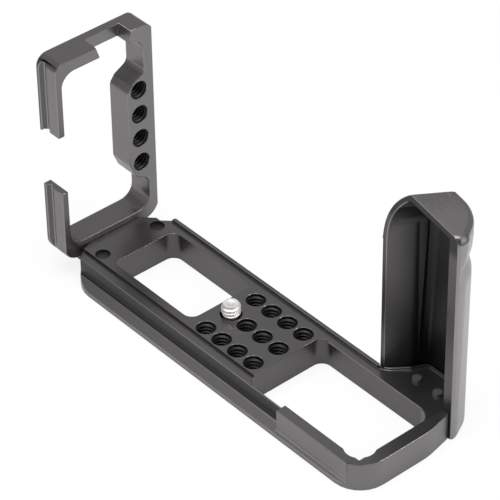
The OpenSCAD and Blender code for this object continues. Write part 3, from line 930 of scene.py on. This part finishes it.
# %% Profile of the camera screw
SCREW_RADIUS, NECK_RADIUS, HEAD_RADIUS = 3.175, 2.45, 4.7
HEAD_LOW, HEAD_HIGH = -9.25, -7.25
HEAD_CHAMFER = 0.3
SOCKET_ACROSS, SOCKET_DEEP = 4.0, 1.4
NECK_HIGH = -0.05
THREAD_LOW, THREAD_HIGH = 0.0, 3.7
THREAD_DEEP = 0.6
THREAD_STEPS = 44
SCREW_TOP = 4.2
TIP_CHAMFER = 0.5
TIP_RADIUS = SCREW_RADIUS - TIP_CHAMFER - THREAD_DEEP / 3
DIMPLE_RIM, DIMPLE_RADIUS, DIMPLE_DEEP = 1.2, 0.9, 0.12


def screw_rows():
    rows = [(HEAD_LOW + SOCKET_DEEP, "socket"), (HEAD_LOW, "socket"),
            (HEAD_LOW, HEAD_RADIUS - HEAD_CHAMFER), (HEAD_LOW + HEAD_CHAMFER, HEAD_RADIUS),
            (HEAD_HIGH - HEAD_CHAMFER, HEAD_RADIUS), (HEAD_HIGH, HEAD_RADIUS - HEAD_CHAMFER),
            (HEAD_HIGH, NECK_RADIUS), (NECK_HIGH, NECK_RADIUS)]
    climb = (THREAD_HIGH - THREAD_LOW) / THREAD_STEPS
    rows += [(THREAD_LOW + climb * i, "thread") for i in range(THREAD_STEPS + 1)]
    rows += [(SCREW_TOP, TIP_RADIUS), (SCREW_TOP, DIMPLE_RIM),
             (SCREW_TOP - DIMPLE_DEEP, DIMPLE_RADIUS)]
    return rows


print("screw profile: %d rows" % len(screw_rows()))

# %% Radius at each point of the screw
SCREW_CREST_SHARE, SCREW_SLOPE_SHARE = 0.12, 0.76
LEAD_LENGTH = 0.6
TAIL_LENGTH, TAIL_OVER = 0.5, 0.1


def thread_dip(angle, height):
    """How far the thread's surface lies below its crest, as a share of its depth."""
    phase = (height / TURN - angle / math.tau) % 1
    slope = abs(phase - 0.5) * 2
    return min(1, max(0, (slope - SCREW_CREST_SHARE) / SCREW_SLOPE_SHARE))


def thread_radius(angle, height):
    lead = min(1, (height - THREAD_LOW) / LEAD_LENGTH)
    tail = min(1, (THREAD_HIGH + TAIL_OVER - height) / TAIL_LENGTH)
    depth = 1 - lead * tail * (1 - thread_dip(angle, height))
    return SCREW_RADIUS - THREAD_DEEP * depth


def hexagon_radius(angle):
    within = (angle + math.pi / 6) % (math.pi / 3) - math.pi / 6
    return SOCKET_ACROSS / 2 / math.cos(within)


def row_radius(kind, angle, height):
    if kind == "socket":
        return hexagon_radius(angle)
    if kind == "thread":
        return thread_radius(angle, height)
    return kind


print("thread: %.2f mm across its root and %.2f mm across its crest" % (
    2 * (SCREW_RADIUS - THREAD_DEEP), 2 * SCREW_RADIUS))

# %% Camera screw mesh
AROUND = 72


def screw_loop(bm, height, kind):
    loop = []
    for k in range(AROUND):
        angle = math.tau * k / AROUND
        radius = row_radius(kind, angle, height)
        point = Vector((radius * math.cos(angle), radius * math.sin(angle), height))
        loop.append(bm.verts.new(point * MM))
    return loop


bm = bmesh.new()
skin(bm, [screw_loop(bm, height, kind) for height, kind in screw_rows()])
screw_mesh = turned_mesh(bm, "camera_screw_turned", bright_steel)
screw = add_object("camera_screw_turned", screw_mesh)
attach(screw, "camera_screw")
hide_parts("camera_screw")
print("camera screw: %d faces" % len(screw_mesh.polygons))

# %% [markdown]
# ## Small pieces that keep their CAD shape
#
# The circlip and the flat-headed screws are already right as solids, so they only need a
# finish. Assigning it to the material slot of the CAD object is enough.

# %% Finishes on the small pieces
for node, finish in (("screw_circlip", spring_steel), ("side_plate_screws", black_steel),
                     ("grip_screws", plain_steel)):
    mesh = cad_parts[node].data
    mesh.materials.clear()
    mesh.materials.append(finish)
    print("%s: %s" % (node, finish.name))

# %% [markdown]
# ## Measure and finish
#
# The dressed model's box is printed beside the CAD model's, as the distance each corner moved.

# %% Print the sizes
dressed_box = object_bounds()
for corner, was, now in zip(("lowest", "highest"), cad_box, dressed_box):
    print(corner, "corner moved by", [round((b - a) / MM, 3) for a, b in zip(was, now)], "mm")
